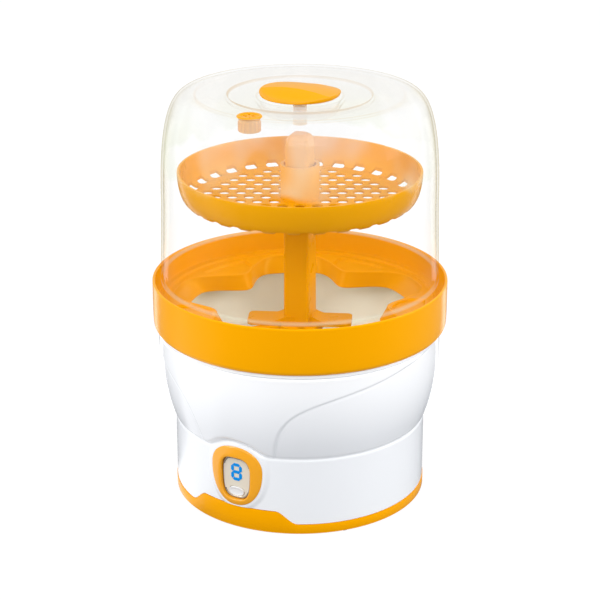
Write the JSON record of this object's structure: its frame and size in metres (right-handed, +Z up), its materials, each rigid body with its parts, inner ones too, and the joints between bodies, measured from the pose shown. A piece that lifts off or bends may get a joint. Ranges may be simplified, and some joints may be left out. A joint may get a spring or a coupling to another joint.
{
  "type": "bottle sterilizer",
  "caption": "Steam sterilizer for baby bottles: round base with heater and display, rack with bottle bays, column, perforated tray and clear domed lid.",
  "frame": {"origin": "centre of the resting plane under the base", "axes": "+Z up, display towards -Y, +X to the right seen from the front"},
  "size_m": [0.2476, 0.2476, 0.3512],
  "materials": {
    "orange_plastic": "gloss",
    "white_plastic": "gloss",
    "basin_plastic": "satin",
    "clear_plastic": "gloss",
    "stainless": "brushed",
    "zinc_steel": "satin",
    "element_metal": "satin",
    "silicone": "satin",
    "foot_rubber": "matte",
    "board_green": "satin",
    "component_black": "matte",
    "transformer_yellow": "satin",
    "capacitor_blue": "gloss",
    "ceramic": "matte",
    "digit_blue": "gloss",
    "window_smoke": "gloss",
    "button_silver": "satin",
    "switch_metal": "satin",
    "wire_red": "satin",
    "cord_white": "satin"
  },
  "bodies": {
    "base": {"base_housing": "white_plastic", "bottom_cover": "orange_plastic", "water_basin": "basin_plastic", "heating_plate": "stainless", "plate_seal": "silicone", "plate_clamp": "stainless", "plate_screws": "zinc_steel", "heating_element": "element_metal", "thermostat": "component_black", "thermal_fuse": "ceramic", "sensor_bracket": "zinc_steel", "power_board": "board_green", "power_relay": "component_black", "power_transformer": "transformer_yellow", "filter_capacitor": "capacitor_blue", "board_screws": "zinc_steel", "control_board": "board_green", "control_screws": "zinc_steel", "display_module": "component_black", "digit_segments": "digit_blue", "display_window": "window_smoke", "display_bezel": "orange_plastic", "tact_switch": "switch_metal", "buzzer": "component_black", "wiring": "wire_red", "power_cord": "cord_white", "mains_plug": "cord_white", "strain_relief": "foot_rubber", "rubber_feet": "foot_rubber", "cover_screws": "zinc_steel"},
    "button": {"start_button": "button_silver", "switch_plunger": "component_black"},
    "rack": {"lower_rack": "orange_plastic"},
    "column": {"column": "orange_plastic"},
    "tray": {"upper_tray": "orange_plastic"},
    "lid": {"lid_dome": "clear_plastic", "lid_knob": "orange_plastic", "knob_nut": "orange_plastic", "knob_washer": "silicone", "steam_vent": "orange_plastic"}
  },
  "joints": [
    {"name": "button_press", "type": "slide", "parent": "base", "child": "button", "axis": [0, 1, 0], "range_m": [0, 0.0008], "stiffness_N_per_m": 1500},
    {"name": "rack_lift", "type": "slide", "parent": "base", "child": "rack", "axis": [0, 0, 1], "range_m": [0, 0.05]},
    {"name": "column_lift", "type": "slide", "parent": "rack", "child": "column", "axis": [0, 0, 1], "range_m": [0, 0.05]},
    {"name": "tray_lift", "type": "slide", "parent": "column", "child": "tray", "axis": [0, 0, 1], "range_m": [0, 0.09]},
    {"name": "lid_lift", "type": "slide", "parent": "tray", "child": "lid", "axis": [0, 0, 1], "range_m": [0, 0.16]}
  ]
}
